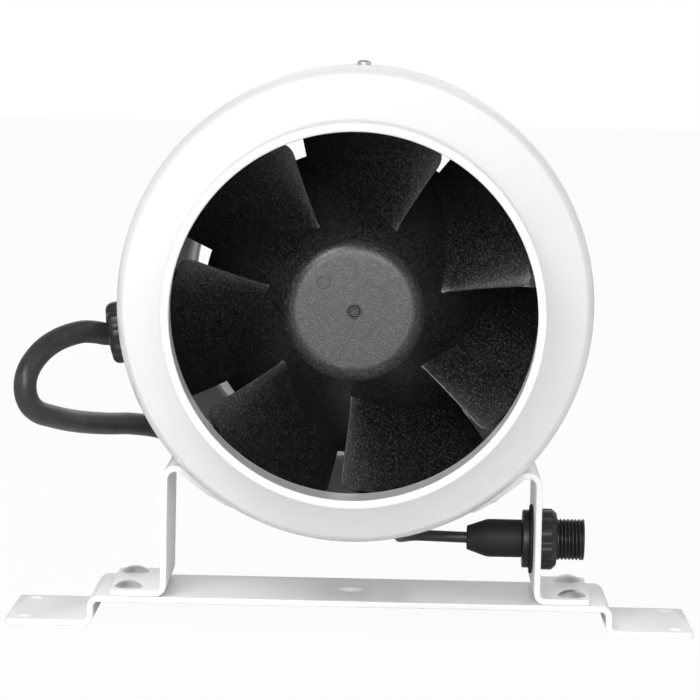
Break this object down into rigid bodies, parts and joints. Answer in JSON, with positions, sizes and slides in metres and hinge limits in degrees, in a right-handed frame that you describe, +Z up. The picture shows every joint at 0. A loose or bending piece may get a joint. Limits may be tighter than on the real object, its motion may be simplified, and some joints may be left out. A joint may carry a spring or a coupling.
{
  "type": "inline duct fan",
  "caption": "Inline duct fan: round two-shell steel housing with duct collars on a folded bracket, mixed-flow impeller on an outer-rotor motor, guide vanes, mains cord and control socket.",
  "frame": {"origin": "centre of the base bracket on the surface the feet stand on, midway between the two duct collars", "axes": "+X across the fan to the side with the control socket, +Y along the air path from inlet to outlet, +Z up"},
  "size_m": [0.28, 0.2096, 0.2316],
  "materials": {
    "white_paint": "gloss white powder coat, slight orange peel",
    "black_plastic": "fine-textured moulded plastic",
    "black_nylon": "satin moulded nylon",
    "cord_pvc": "satin PVC sheath",
    "black_rubber": "matte rubber",
    "zinc_steel": "bright zinc plate",
    "dark_steel": "oiled steel",
    "copper_wire": "enamelled copper wire",
    "ferrite": "bonded ferrite magnet",
    "brass": "plain brass",
    "board_green": "solder-masked circuit board"
  },
  "bodies": {
    "housing": {"inlet_shell": "white_paint", "outlet_shell": "white_paint", "base_plate": "white_paint", "left_leg": "white_paint", "right_leg": "white_paint", "guide_vanes": "black_plastic", "rear_cap": "black_plastic", "cord_bushing": "black_nylon", "socket_body": "black_nylon", "socket_nut": "black_nylon", "power_cord": "cord_pvc", "plug_body": "cord_pvc", "inner_lead": "cord_pvc", "control_cable": "cord_pvc", "smoothing_capacitor": "cord_pvc", "cable_boot": "black_rubber", "cable_grommet": "black_rubber", "socket_washer": "black_rubber", "motor_flange": "zinc_steel", "front_bearing": "zinc_steel", "rear_bearing": "zinc_steel", "stator_core": "dark_steel", "front_end_winding": "copper_wire", "rear_end_winding": "copper_wire", "mains_choke": "copper_wire", "sensor_board": "board_green", "driver_board": "board_green", "plug_pin_live": "brass", "plug_pin_neutral": "brass", "plug_pin_earth": "brass", "casing_screw_1": "zinc_steel", "motor_screw_1": "zinc_steel", "cap_screw_1": "zinc_steel", "casing_screw_2": "zinc_steel", "motor_screw_2": "zinc_steel", "cap_screw_2": "zinc_steel", "casing_screw_3": "zinc_steel", "motor_screw_3": "zinc_steel", "cap_screw_3": "zinc_steel", "socket_pin_1": "brass", "socket_pin_2": "brass", "socket_pin_3": "brass", "socket_pin_4": "brass", "leg_rivet_left_front": "zinc_steel", "tab_rivet_left_front": "zinc_steel", "leg_rivet_left_rear": "zinc_steel", "tab_rivet_left_rear": "zinc_steel", "leg_rivet_right_front": "zinc_steel", "tab_rivet_right_front": "zinc_steel", "leg_rivet_right_rear": "zinc_steel", "tab_rivet_right_rear": "zinc_steel"},
    "rotor": {"impeller": "black_plastic", "rotor_cup": "dark_steel", "magnet_ring": "ferrite", "motor_shaft": "zinc_steel", "shaft_clip": "dark_steel"}
  },
  "joints": [
    {"name": "impeller_spin", "type": "hinge", "parent": "housing", "child": "rotor", "pos_m": [0, 0, 0.1334], "axis": [0, 1, 0], "continuous": true}
  ]
}
